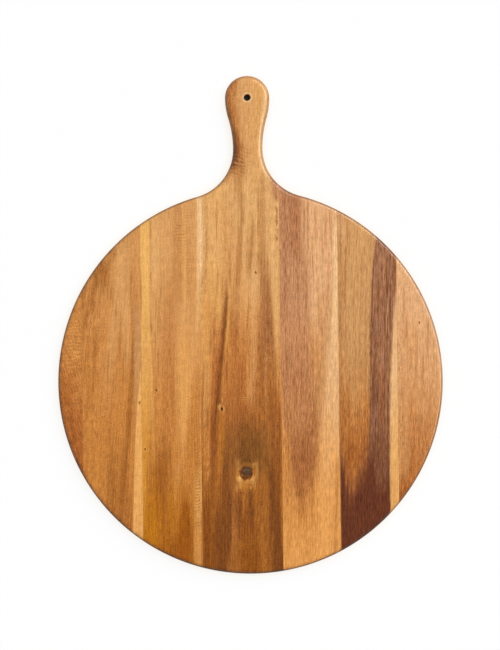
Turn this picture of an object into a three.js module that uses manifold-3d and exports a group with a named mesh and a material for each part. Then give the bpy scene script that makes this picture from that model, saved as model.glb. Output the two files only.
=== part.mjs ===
// Round serving board with a handle, built as the real one is: solid wood staves are edge-glued
// into a panel, the panel is cut to a disc with a waisted handle in one piece with its middle
// stave, all edges are rounded over, and the end of the handle is drilled for hanging.
// Millimetres, +Z up. The origin is the centre of the disc on the underside, and +Y runs to the handle.
import * as THREE from "three";
import { mergeVertices } from "three/addons/utils/BufferGeometryUtils.js";
import Module from "manifold-3d";

const wasm = await Module();
wasm.setup();

// Panel
const DISC_DIAMETER = 406.4;
const THICKNESS = 18;

// Handle outline: it narrows to a neck above the disc and swells again to a round end
const NECK_WIDTH = 31.2;
const END_FLARE = 7.9; // how far the round end stands out past the neck, on each side
const SHOULDER_RADIUS = 52; // hollow curve from the disc into the neck
const FLANK_RADIUS = 114; // hollow curve from the neck towards the round end
const END_SIDE_RADIUS = 72; // full curve from the flank into the round end

// Rounded edges, the same above and below
const DISC_EDGE_RADIUS = 5;
const HANDLE_EDGE_RADIUS = 7;

// Hanging hole, on the centre of the handle's round end
const HOLE_DIAMETER = 7;
const HOLE_EDGE_RADIUS = 1;

// Staves and the glue lines between them
const STAVES_PER_SIDE = 3; // beside the one with the handle
const LEFT_SPARE = 29; // how far the handle's stave runs past the round end of the handle
const RIGHT_SPARE = 8.9;
const LEFT_RIM_WIDTH = 25.7; // from the last joint to the rim, at the widest
const RIGHT_RIM_WIDTH = 48;
const GLUE_THICKNESS = 0.2;

// Fineness of the facets
const ARC_SAGITTA = 0.03;
const EDGE_STEPS = 5;
const HOLE_SIDES = 32;
const CUTTER_OVERRUN = 5; // how far a cutting solid reaches past what it cuts
const JOINT_TOLERANCE = 0.001; // corners this near to a joint's plane lie on it

// Sizes that follow from those above
const discRadius = DISC_DIAMETER / 2;
const neckHalf = NECK_WIDTH / 2;
const endRadius = neckHalf + END_FLARE;
const shoulderX = neckHalf + SHOULDER_RADIUS;
const neckY = Math.sqrt((discRadius + SHOULDER_RADIUS) ** 2 - shoulderX ** 2);
const shoulderAngle = Math.atan2(neckY, shoulderX);
const flankX = neckHalf + FLANK_RADIUS;
const sideX = endRadius - END_SIDE_RADIUS;
const flankRise = Math.sqrt((FLANK_RADIUS + END_SIDE_RADIUS) ** 2 - (flankX - sideX) ** 2);
const flankAngle = Math.atan2(flankRise, flankX - sideX);
const endY = neckY + flankRise;
const thickestEdge = THICKNESS / 2;
const discEdge = Math.min(DISC_EDGE_RADIUS, thickestEdge);
const handleEdge = Math.min(HANDLE_EDGE_RADIUS, thickestEdge);

// One arc of the outline. A hollow arc has its centre outside the board and runs clockwise.
// The edge radius changes smoothly along it from edgeFrom to edgeTo.
function outlineArc(x, y, radius, from, to, edgeFrom, edgeTo) {
  const hollow = to < from;
  const curve = new THREE.EllipseCurve(x, y, radius, radius, from, to, hollow);
  const step = 2 * Math.acos(1 - Math.min(ARC_SAGITTA / radius, 0.5));
  const count = Math.ceil(Math.abs(to - from) / step);
  const centre = new THREE.Vector2(x, y);
  return Array.from({ length: count }, (_, i) => {
    const point = curve.getPoint(i / count);
    const outward = point.clone().sub(centre).normalize().multiplyScalar(hollow ? -1 : 1);
    const edge = THREE.MathUtils.lerp(edgeFrom, edgeTo, THREE.MathUtils.smoothstep(i / count, 0, 1));
    return { point, outward, edge };
  });
}

// The board's outline, counter-clockwise from where the left shoulder meets the disc.
// Every arc is tangent to the next.
function boardOutline() {
  const a = shoulderAngle;
  const b = flankAngle;
  const h = handleEdge;
  return [
    outlineArc(0, 0, discRadius, Math.PI - a, 2 * Math.PI + a, discEdge, discEdge),
    outlineArc(shoulderX, neckY, SHOULDER_RADIUS, Math.PI + a, Math.PI, discEdge, h),
    outlineArc(flankX, neckY, FLANK_RADIUS, Math.PI, Math.PI - b, h, h),
    outlineArc(sideX, endY, END_SIDE_RADIUS, -b, 0, h, h),
    outlineArc(0, endY, endRadius, 0, Math.PI, h, h),
    outlineArc(-sideX, endY, END_SIDE_RADIUS, Math.PI, Math.PI + b, h, h),
    outlineArc(-flankX, neckY, FLANK_RADIUS, b, 0, h, h),
    outlineArc(-shoulderX, neckY, SHOULDER_RADIUS, 0, -a, h, discEdge),
  ].flat();
}

// The edge's section from the underside to the top, as shares of the local edge radius:
// how far it is drawn in from the outline, and how far it lies from its own face.
function edgeSection() {
  const quarter = Array.from({ length: EDGE_STEPS + 1 }, (_, i) => {
    const turn = ((Math.PI / 2) * i) / EDGE_STEPS;
    return { drawnIn: 1 - Math.sin(turn), rise: 1 - Math.cos(turn) };
  });
  const lower = quarter.map((q) => ({ ...q, upper: false }));
  const upper = quarter.map((q) => ({ ...q, upper: true })).reverse();
  return [...lower, ...upper];
}

// The whole board as one loft: the outline is drawn in ring by ring over the edge's section,
// and the first and last rings are filled as the two flat faces.
function boardBlank() {
  const outline = boardOutline();
  const section = edgeSection();
  const count = outline.length;
  const rings = section.map(({ drawnIn, rise, upper }) =>
    outline.map(({ point, outward, edge }) => {
      const p = point.clone().addScaledVector(outward, -edge * drawnIn);
      return new THREE.Vector3(p.x, p.y, upper ? THICKNESS - edge * rise : edge * rise);
    }),
  );
  const indices = [];
  for (let ring = 0; ring + 1 < rings.length; ring++) {
    for (let i = 0; i < count; i++) {
      const low = ring * count + i;
      const lowNext = ring * count + ((i + 1) % count);
      const high = low + count;
      const highNext = lowNext + count;
      indices.push(low, lowNext, highNext, low, highNext, high);
    }
  }
  const flatFace = (ring) => THREE.ShapeUtils.triangulateShape(
    ring.map((p) => new THREE.Vector2(p.x, p.y)),
    [],
  );
  for (const [i, j, k] of flatFace(rings[0])) indices.push(i, k, j);
  const topStart = (rings.length - 1) * count;
  for (const [i, j, k] of flatFace(rings.at(-1))) indices.push(topStart + i, topStart + j, topStart + k);
  return new THREE.BufferGeometry().setFromPoints(rings.flat()).setIndex(indices);
}

// The drill that leaves the hanging hole with a rounded mouth on both faces.
function hangingHoleCutter() {
  const radius = HOLE_DIAMETER / 2;
  const mouth = Math.min(HOLE_EDGE_RADIUS, thickestEdge);
  const turns = Array.from({ length: EDGE_STEPS + 1 }, (_, i) => ((Math.PI / 2) * i) / EDGE_STEPS);
  const lowerMouth = turns.map((t) => [radius + mouth * (1 - Math.sin(t)), mouth * (1 - Math.cos(t))]);
  const upperMouth = lowerMouth.map(([r, z]) => [r, THICKNESS - z]).reverse();
  const profile = [
    [0, -CUTTER_OVERRUN],
    [radius + mouth, -CUTTER_OVERRUN],
    ...lowerMouth,
    ...upperMouth,
    [radius + mouth, THICKNESS + CUTTER_OVERRUN],
    [0, THICKNESS + CUTTER_OVERRUN],
  ];
  return new THREE.LatheGeometry(
    profile.map(([r, z]) => new THREE.Vector2(r, z)),
    HOLE_SIDES,
  )
    .rotateX(Math.PI / 2)
    .translate(0, endY, 0);
}

// A slab across the whole board between two upright planes.
function slabBetween(left, right) {
  const reach = discRadius + endY + endRadius + CUTTER_OVERRUN;
  return new THREE.BoxGeometry(right - left, 2 * reach, THICKNESS + 2 * CUTTER_OVERRUN).translate(
    (left + right) / 2,
    0,
    THICKNESS / 2,
  );
}

// A closed geometry as a solid that can be cut and joined.
function solidOf(geometry) {
  const bare = geometry.clone();
  bare.deleteAttribute("normal");
  bare.deleteAttribute("uv");
  const merged = mergeVertices(bare);
  const corners = merged.index.array;
  const triangles = [];
  for (let i = 0; i < corners.length; i += 3) {
    const [a, b, c] = corners.slice(i, i + 3);
    if (a !== b && b !== c && c !== a) triangles.push(a, b, c);
  }
  return new wasm.Manifold(
    new wasm.Mesh({
      numProp: 3,
      vertProperties: merged.attributes.position.array,
      triVerts: new Uint32Array(triangles),
    }),
  );
}

// A cut solid as a geometry. Corners on the two joint planes are set exactly on them,
// so that neighbours meet face to face.
function geometryBetween(solid, left, right) {
  const mesh = solid.getMesh();
  const corners = mesh.vertProperties;
  for (let i = 0; i < corners.length; i += mesh.numProp) {
    if (Math.abs(corners[i] - left) < JOINT_TOLERANCE) corners[i] = left;
    if (Math.abs(corners[i] - right) < JOINT_TOLERANCE) corners[i] = right;
  }
  const geometry = new THREE.BufferGeometry()
    .setAttribute("position", new THREE.BufferAttribute(corners, mesh.numProp))
    .setIndex(new THREE.BufferAttribute(mesh.triVerts, 1));
  geometry.computeVertexNormals();
  return geometry;
}

// The staves' names and colours: the one with the handle, and those on each side from it to the rim
const HANDLE_STAVE_COLOUR = "#b9783f";
const LEFT_STAVE_COLOURS = ["#c98a48", "#bd7f45", "#bf7840"];
const RIGHT_STAVE_COLOURS = ["#c48352", "#a86a3f", "#c98657"];
const GLUE_COLOUR = "#6b4524";

// The spans between joints, middle to middle of the glue lines, from the handle's stave out to the rim.
// The staves between the handle's stave and the one at the rim share their width equally.
function staveSpans() {
  const firstLeft = -endRadius - LEFT_SPARE;
  const firstRight = endRadius + RIGHT_SPARE;
  const spans = [{ name: "handle_stave", left: firstLeft, right: firstRight, colour: HANDLE_STAVE_COLOUR }];
  const sides = [
    ["left", -1, firstLeft, LEFT_RIM_WIDTH, LEFT_STAVE_COLOURS],
    ["right", 1, firstRight, RIGHT_RIM_WIDTH, RIGHT_STAVE_COLOURS],
  ];
  for (const [side, outward, first, rimWidth, colours] of sides) {
    const last = outward * (discRadius - rimWidth);
    const pastRim = outward * (discRadius + CUTTER_OVERRUN);
    const shared = Math.max(1, STAVES_PER_SIDE - 1);
    for (let i = 0; i < STAVES_PER_SIDE; i++) {
      const inner = THREE.MathUtils.lerp(first, last, i / shared);
      const outer = i + 1 < STAVES_PER_SIDE ? THREE.MathUtils.lerp(first, last, (i + 1) / shared) : pastRim;
      spans.push({
        name: `${side}_stave_${i + 1}`,
        glue: `${side}_glue_line_${i + 1}`,
        joint: inner,
        left: Math.min(inner, outer),
        right: Math.max(inner, outer),
        colour: colours[i % colours.length],
      });
    }
  }
  return spans;
}

function boardMesh(name, solid, left, right, colour, roughness) {
  const material = new THREE.MeshStandardMaterial({ color: colour, roughness, metalness: 0 });
  const mesh = new THREE.Mesh(geometryBetween(solid, left, right), material);
  mesh.name = name;
  return mesh;
}

const WOOD_ROUGHNESS = 0.5;
const GLUE_ROUGHNESS = 0.6;
const board = new THREE.Group();
board.name = "round_serving_board";
const drilledBlank = solidOf(boardBlank()).subtract(solidOf(hangingHoleCutter()));
for (const { name, glue, joint, left, right, colour } of staveSpans()) {
  const half = GLUE_THICKNESS / 2;
  const [staveLeft, staveRight] = [Math.fround(left + half), Math.fround(right - half)];
  const stave = drilledBlank.intersect(solidOf(slabBetween(staveLeft, staveRight)));
  board.add(boardMesh(name, stave, staveLeft, staveRight, colour, WOOD_ROUGHNESS));
  if (!glue) continue;
  const [glueLeft, glueRight] = [Math.fround(joint - half), Math.fround(joint + half)];
  const film = drilledBlank.intersect(solidOf(slabBetween(glueLeft, glueRight)));
  board.add(boardMesh(glue, film, glueLeft, glueRight, GLUE_COLOUR, GLUE_ROUGHNESS));
}

export default board;
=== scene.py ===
"""Looks of a round acacia serving board: seven staves edge-glued into a panel, cut to a disc with a handle.

The frame gives the overall sizes and the places of the joints. Lengths of the model are in metres. The
wood's figure is described in millimetres on the serving face: x across the grain and y along it, from the
disc's centre.
"""
import math

import bpy
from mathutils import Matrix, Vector


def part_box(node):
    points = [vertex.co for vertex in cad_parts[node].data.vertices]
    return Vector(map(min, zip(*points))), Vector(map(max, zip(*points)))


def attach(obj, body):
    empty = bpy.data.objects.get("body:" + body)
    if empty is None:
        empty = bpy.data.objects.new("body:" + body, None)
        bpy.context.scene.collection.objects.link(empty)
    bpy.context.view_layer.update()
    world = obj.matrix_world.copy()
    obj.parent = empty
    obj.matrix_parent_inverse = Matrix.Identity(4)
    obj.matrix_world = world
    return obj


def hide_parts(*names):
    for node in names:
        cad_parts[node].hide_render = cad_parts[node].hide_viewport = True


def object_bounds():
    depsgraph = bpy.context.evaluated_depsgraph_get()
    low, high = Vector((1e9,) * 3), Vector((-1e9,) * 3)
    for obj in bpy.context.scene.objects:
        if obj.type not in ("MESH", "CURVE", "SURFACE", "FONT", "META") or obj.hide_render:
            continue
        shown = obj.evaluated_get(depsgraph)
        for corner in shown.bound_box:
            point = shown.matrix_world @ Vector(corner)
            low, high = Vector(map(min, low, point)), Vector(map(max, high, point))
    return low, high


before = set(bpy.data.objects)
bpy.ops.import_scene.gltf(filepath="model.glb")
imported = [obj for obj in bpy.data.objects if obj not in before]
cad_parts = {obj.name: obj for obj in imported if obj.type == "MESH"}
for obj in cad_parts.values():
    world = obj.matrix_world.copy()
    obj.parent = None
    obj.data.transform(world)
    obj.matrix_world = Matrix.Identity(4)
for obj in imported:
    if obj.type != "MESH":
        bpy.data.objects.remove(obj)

cad_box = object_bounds()

MM = 0.001

# Sizes of the outline that the frame's boxes don't give.
NECK_WIDTH = 31.2 * MM
END_FLARE = 7.9 * MM
SHOULDER_RADIUS = 52 * MM
FLANK_RADIUS = 114 * MM
END_SIDE_RADIUS = 72 * MM
DISC_EDGE_RADIUS = 5 * MM
HANDLE_EDGE_RADIUS = 7 * MM
HOLE_DIAMETER = 7 * MM
HOLE_EDGE_RADIUS = 1 * MM

# How finely the surfaces are divided.
OUTLINE_STEP = 1.5 * MM
EDGE_SEGMENTS = 8
HOLE_SIDES = 64
HOLE_EDGE_SEGMENTS = 4
SMOOTH_ANGLE = math.radians(35)

# Points of the outline that lie closer than this are one, and so are points of a cut.
OUTLINE_MERGE = OUTLINE_STEP / 100
CUT_MERGE = MM / 1000

THICKNESS = cad_box[1].z
DISC_RADIUS = (cad_box[1].x - cad_box[0].x) / 2

HALF_NECK = NECK_WIDTH / 2
END_RADIUS = HALF_NECK + END_FLARE
SHOULDER_X = HALF_NECK + SHOULDER_RADIUS
NECK_Y = math.sqrt((DISC_RADIUS + SHOULDER_RADIUS) ** 2 - SHOULDER_X ** 2)
SHOULDER_ANGLE = math.atan2(NECK_Y, SHOULDER_X)
FLANK_X = HALF_NECK + FLANK_RADIUS
SIDE_X = END_RADIUS - END_SIDE_RADIUS
FLANK_RISE = math.sqrt((FLANK_RADIUS + END_SIDE_RADIUS) ** 2 - (FLANK_X - SIDE_X) ** 2)
FLANK_ANGLE = math.atan2(FLANK_RISE, FLANK_X - SIDE_X)
END_Y = NECK_Y + FLANK_RISE


# Modelling

def start_mesh(add, **size):
    """Adds a primitive alone in the selection, ready for edit mode."""
    bpy.ops.object.select_all(action="DESELECT")
    add(**size)
    return bpy.context.object


def finish_with(piece, kind, **settings):
    """Adds a modifier to a piece and applies it."""
    bpy.ops.object.select_all(action="DESELECT")
    piece.select_set(True)
    bpy.context.view_layer.objects.active = piece
    modifier = piece.modifiers.new(kind.lower(), kind)
    for name, value in settings.items():
        setattr(modifier, name, value)
    bpy.ops.object.modifier_apply(modifier=modifier.name)


def copy_of(piece, name):
    """A copy of a piece with a mesh of its own."""
    copy = piece.copy()
    copy.data = piece.data.copy()
    copy.name = copy.data.name = name
    bpy.context.scene.collection.objects.link(copy)
    return copy


def edge_radius_at(point):
    """Radius of the rounded edge: small round the disc, full on the handle, growing along the shoulders."""
    if point.y >= NECK_Y:
        return HANDLE_EDGE_RADIUS
    turned = math.atan2(NECK_Y - point.y, SHOULDER_X - abs(point.x))
    if not 0 < turned < SHOULDER_ANGLE:
        return DISC_EDGE_RADIUS
    share = 1 - turned / SHOULDER_ANGLE
    growth = share * share * (3 - 2 * share)
    return DISC_EDGE_RADIUS + growth * (HANDLE_EDGE_RADIUS - DISC_EDGE_RADIUS)


def spin_outline():
    """Draws the outline anticlockwise from the left shoulder by spinning one point along tangent arcs."""
    start = (-DISC_RADIUS * math.cos(SHOULDER_ANGLE), DISC_RADIUS * math.sin(SHOULDER_ANGLE), 0)
    turns = [
        ((0, 0, 0), DISC_RADIUS, math.pi + 2 * SHOULDER_ANGLE),
        ((SHOULDER_X, NECK_Y, 0), SHOULDER_RADIUS, -SHOULDER_ANGLE),
        ((FLANK_X, NECK_Y, 0), FLANK_RADIUS, -FLANK_ANGLE),
        ((SIDE_X, END_Y, 0), END_SIDE_RADIUS, FLANK_ANGLE),
        ((0, END_Y, 0), END_RADIUS, math.pi),
        ((-SIDE_X, END_Y, 0), END_SIDE_RADIUS, FLANK_ANGLE),
        ((-FLANK_X, NECK_Y, 0), FLANK_RADIUS, -FLANK_ANGLE),
        ((-SHOULDER_X, NECK_Y, 0), SHOULDER_RADIUS, -SHOULDER_ANGLE),
    ]
    bpy.ops.mesh.merge(type="CENTER")
    bpy.ops.transform.translate(value=start)
    for centre, radius, turn in turns:
        steps = math.ceil(radius * abs(turn) / OUTLINE_STEP)
        bpy.ops.mesh.spin(steps=steps, angle=-turn, center=centre, axis=(0, 0, 1))
    bpy.ops.mesh.select_all(action="SELECT")
    bpy.ops.mesh.remove_doubles(threshold=OUTLINE_MERGE)


def make_blank():
    """The whole panel before it is taken apart: outline, thickness, rounded edges and hanging hole."""
    blank = start_mesh(bpy.ops.mesh.primitive_plane_add, size=NECK_WIDTH)
    bpy.ops.object.mode_set(mode="EDIT")
    spin_outline()
    bpy.ops.mesh.edge_face_add()
    bpy.ops.mesh.extrude_region_move(TRANSFORM_OT_translate={"value": (0, 0, THICKNESS)})
    bpy.ops.mesh.select_all(action="SELECT")
    bpy.ops.mesh.normals_make_consistent(inside=False)
    bpy.ops.object.mode_set(mode="OBJECT")

    rounding = blank.data.attributes.new("bevel_weight_edge", "FLOAT", "EDGE")
    for edge in blank.data.edges:
        one, other = (blank.data.vertices[index].co for index in edge.vertices)
        if abs(one.z - other.z) < THICKNESS / 2:
            rounding.data[edge.index].value = edge_radius_at((one + other) / 2) / HANDLE_EDGE_RADIUS
    finish_with(blank, "BEVEL", limit_method="WEIGHT", width=HANDLE_EDGE_RADIUS, segments=EDGE_SEGMENTS,
                use_clamp_overlap=False)
    drill(blank)
    return blank


def drill(blank):
    """Cuts the hanging hole and rounds its two mouths."""
    bit = start_mesh(bpy.ops.mesh.primitive_cylinder_add, vertices=HOLE_SIDES, radius=HOLE_DIAMETER / 2,
                     depth=2 * THICKNESS, location=(0, END_Y, THICKNESS / 2))
    finish_with(blank, "BOOLEAN", object=bit, operation="DIFFERENCE", solver="EXACT")
    bpy.data.objects.remove(bit)

    mesh = blank.data
    for edge in mesh.edges:
        ends = [mesh.vertices[index].co for index in edge.vertices]
        round_hole = all(math.hypot(end.x, end.y - END_Y) < HOLE_DIAMETER / 2 + MM / 10 for end in ends)
        edge.select = round_hole and abs(ends[0].z - ends[1].z) < MM
    bpy.ops.object.mode_set(mode="EDIT")
    bpy.ops.mesh.select_mode(type="EDGE")
    bpy.ops.mesh.bevel(offset=HOLE_EDGE_RADIUS, segments=HOLE_EDGE_SEGMENTS)
    bpy.ops.object.mode_set(mode="OBJECT")


def cut_from(blank, node, name):
    """Cuts the piece that stands for a node out of the panel, between the node's two sides."""
    low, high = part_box(node)
    piece = copy_of(blank, name)
    bpy.ops.object.select_all(action="DESELECT")
    piece.select_set(True)
    bpy.context.view_layer.objects.active = piece
    bpy.ops.object.mode_set(mode="EDIT")
    for side, waste in ((low.x, "left"), (high.x, "right")):
        if abs(side) > DISC_RADIUS - MM:
            continue
        bpy.ops.mesh.select_all(action="SELECT")
        bpy.ops.mesh.bisect(plane_co=(side, 0, 0), plane_no=(1, 0, 0), use_fill=True,
                            clear_inner=waste == "left", clear_outer=waste == "right", threshold=CUT_MERGE)
    bpy.ops.object.mode_set(mode="OBJECT")
    bpy.ops.object.shade_smooth_by_angle(angle=SMOOTH_ANGLE)
    finish_with(piece, "WEIGHTED_NORMAL", keep_sharp=True)
    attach(piece, "root")
    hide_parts(node)
    return piece


# Materials

# What the oil's sheen adds to every tone of the face, and the least that is left of a tone without it.
SHEEN = 0.0105
DARKEST = 0.002


def tone(red, green, blue):
    """The linear colour of a tone without the sheen, from its looks on the face, in parts of 0 to 255."""
    shares = [value / 255 for value in (red, green, blue)]
    linear = [share / 12.92 if share <= 0.04045 else ((share + 0.055) / 1.055) ** 2.4 for share in shares]
    return (*(max(value - SHEEN, DARKEST) for value in linear), 1)


CREAM = tone(247, 203, 147)
PALE_SAP = tone(237, 186, 130)
STRAW = tone(240, 182, 104)
SAPWOOD = tone(234, 170, 97)
HONEY = tone(233, 162, 88)
GOLD = tone(229, 168, 92)
DEEP_GOLD = tone(223, 153, 63)
TAN = tone(229, 173, 111)
ROSE_TAN = tone(231, 175, 124)
OLIVE_TAN = tone(205, 150, 96)
GOLDEN_BROWN = tone(209, 140, 75)
AMBER = tone(199, 129, 62)
TAWNY = tone(182, 113, 48)
ORANGE_BROWN = tone(186, 114, 58)
RED_BROWN = tone(186, 126, 87)
OCHRE = tone(186, 115, 33)
BROWN = tone(171, 107, 51)
RUSSET = tone(168, 96, 47)
RUST = tone(162, 98, 56)
CHESTNUT = tone(150, 86, 42)
UMBER = tone(144, 83, 32)
DARK_OCHRE = tone(156, 88, 20)
OLIVE_BROWN = tone(124, 80, 39)
DARK_BROWN = tone(122, 70, 34)
ROSE_CHOCOLATE = tone(176, 124, 93)
CHOCOLATE = tone(166, 111, 74)
DARK_CHOCOLATE = tone(126, 78, 52)
MAROON = tone(105, 57, 38)
KNOT_GREY = tone(98, 76, 55)
BARK = tone(70, 37, 11)
GLUE_BROWN = tone(120, 74, 38)

END_GRAIN_TINT = (0.74, 0.62, 0.50, 1)
PORE_TINT = (0.60, 0.50, 0.42, 1)

# The rounded edges get painted shade, darker than the faces, with less of it on the handle, and are
# polished.
# Both begin and are full at these depths below a face, in millimetres.
EDGE_SHADE_TINT = (0.60, 0.57, 0.55, 1)
EDGE_SHADE_DEPTH = (0.3, 2.2)
EDGE_SHADE_SHARE = [(195, 1.0), (230, 0.1)]
EDGE_COAT = 0.3
EDGE_COAT_DEPTH = (0.2, 0.7)
EDGE_COAT_ROUGHNESS = 0.22

# Darker fibres are also redder: green and blue change by this much more than red.
FIBRE_TINT = (1.0, 1.2, 1.4)

# Fibres show more on dark wood than on pale wood, told apart by the green of their linear colour.
PALE_WOOD = 0.36
DARK_WOOD = 0.08
DARK_WOOD_FIGURE = 2.1


class Shade:
    """A value, colour or vector inside a material. Arithmetic on it adds Math nodes beside it."""

    def __init__(self, socket):
        self.socket = socket

    def output(self, name):
        """Another output of the same node."""
        return Shade(self.socket.node.outputs[name])

    def node(self, kind, settings=None, sockets=None, output=0):
        """Adds a node, makes its settings, then gives its sockets their values or links."""
        tree = self.socket.id_data
        made = tree.nodes.new("ShaderNode" + kind)
        for name, value in (settings or {}).items():
            if name == "points":
                draw_curve(made.mapping, value)
            else:
                setattr(made, name, value)
        for name, value in (sockets or {}).items():
            if isinstance(value, Shade):
                tree.links.new(value.socket, made.inputs[name])
            else:
                made.inputs[name].default_value = value
        return Shade(made.outputs[output])

    def math(self, operation, *values):
        """A Math node on values."""
        return self.node("Math", {"operation": operation}, dict(enumerate(values)))

    def __add__(self, other):
        return self.math("ADD", self, other)

    def __radd__(self, other):
        return self.math("ADD", other, self)

    def __sub__(self, other):
        return self.math("SUBTRACT", self, other)

    def __rsub__(self, other):
        return self.math("SUBTRACT", other, self)

    def __mul__(self, other):
        return self.math("MULTIPLY", self, other)

    def __rmul__(self, other):
        return self.math("MULTIPLY", other, self)

    def __truediv__(self, other):
        return self.math("DIVIDE", self, other)

    def __rtruediv__(self, other):
        return self.math("DIVIDE", other, self)

    def __pow__(self, other):
        return self.math("POWER", self, other)

    def __abs__(self):
        return self.math("ABSOLUTE", self)

    def at_least(self, other):
        return self.math("MAXIMUM", self, other)

    def at_most(self, other):
        return self.math("MINIMUM", self, other)

    def rise(self, low, high, top=1.0):
        """0 up to low and top from high on, with a soft step between. It falls where high is below low."""
        steps = {"interpolation_type": "SMOOTHSTEP", "clamp": False}
        return self.node("MapRange", steps, {0: self, 1: low, 2: high, 4: top})

    def vector(self, operation, *values):
        """A Vector Math node on values."""
        return self.node("VectorMath", {"operation": operation}, dict(enumerate(values)))

    def between(self, first, second):
        """The first colour where this value is 0 and the second where it is 1."""
        return self.node("Mix", {"data_type": "RGBA"}, {0: self, 6: first, 7: second}, 2)

    def mixed(self, colour, share):
        """This colour with a share of another one."""
        return self.node("Mix", {"data_type": "RGBA"}, {0: share, 6: self, 7: colour}, 2)

    def tinted(self, colour, share):
        """This colour multiplied by another one, in part."""
        return self.node("Mix", {"data_type": "RGBA", "blend_type": "MULTIPLY"},
                         {0: share, 6: self, 7: colour}, 2)


def draw_curve(mapping, points):
    """Draws a smooth curve through points, level beyond its ends."""
    mapping.use_clip = False
    mapping.extend = "HORIZONTAL"
    line = mapping.curves[0]
    line.points[0].location = points[0]
    line.points[1].location = points[-1]
    for point in points[1:-1]:
        line.points.new(*point)
    for point in line.points:
        point.handle_type = "AUTO_CLAMPED"
    mapping.update()


def new_material(name):
    """An empty material and its output, from which its nodes are added."""
    material = bpy.data.materials.new(name)
    material.use_nodes = True
    material.node_tree.nodes.clear()
    output = material.node_tree.nodes.new("ShaderNodeOutputMaterial")
    return material, Shade(output.inputs["Surface"])


# The knot in the handle's stave: its place, its radius, and how far along the grain the fibres part for it.
KNOT_X = -5.5
KNOT_Y = -96.4
KNOT_RADIUS = 6.0
KNOT_REACH = 0.4

# The board was sawn a little askew of the fibres, so its figure shifts with depth.
SLANT_ACROSS = 0.5
SLANT_ALONG = 0.6

# How far the fibres fray the edge of a tone, in millimetres across and along the grain.
# An edge softer than LOOSE_EDGE frays loosely, and also wanders along the grain.
LINE_FRAY = 3
PATCH_FRAY = (2, 8)
CRISP_FRAY = (4, 22)
LOOSE_FRAY = (16, 60)
LOOSE_WANDER = 70
LOOSE_EDGE = 4

# How far apart two noises lie across and along the grain, for each step of the seed and of the salt,
# and how many times deeper than wide their blotches are.
NOISE_STEPS = ((61, 37), (83, 29))
NOISE_DEPTH = 3

# Broken marks come and go between these levels of the noise behind them.
STREAK_LEVELS = (0.42, 0.58)
FLECK_LEVELS = (0.46, 0.62)
RIPPLE_LEVELS = (0.25, 0.6)
PORE_LEVELS = (0.42, 0.6)

# A streak is at least this many of its tapered ends long.
STREAK_TAPERS = 2.2

# The part of a wave that shows as a ripple, and how far a noise bends it, in radians.
RIPPLE_CREST = (-0.6, 1.0)
RIPPLE_BEND = 10

# Figure that is the same in every stave. Pores have soft edges, given as shares of their field. The end
# grain shows where the surface turns from the side of the fibres to their ends.
BROAD_STREAKS = 0.25
PORE_STRENGTH = 0.3
PORE_WIDTH = 1.2
PORE_LENGTH = 7
PORE_EDGE = (0.36, 0.16)
END_GRAIN_FACING = (0.35, 0.95)
END_GRAIN_STRENGTH = 0.85

# The oiled satin finish: rougher on late wood and in the pores, and never quite level.
SATIN_ROUGHNESS = 0.2
LATE_WOOD_ROUGHNESS = 0.1
PORE_ROUGHNESS = 0.2
RELIEF_DEPTH = 0.1 * MM
RELIEF_STRENGTH = 0.3
OIL_IOR = 1.45
OIL_SPECULAR = 0.16


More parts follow.
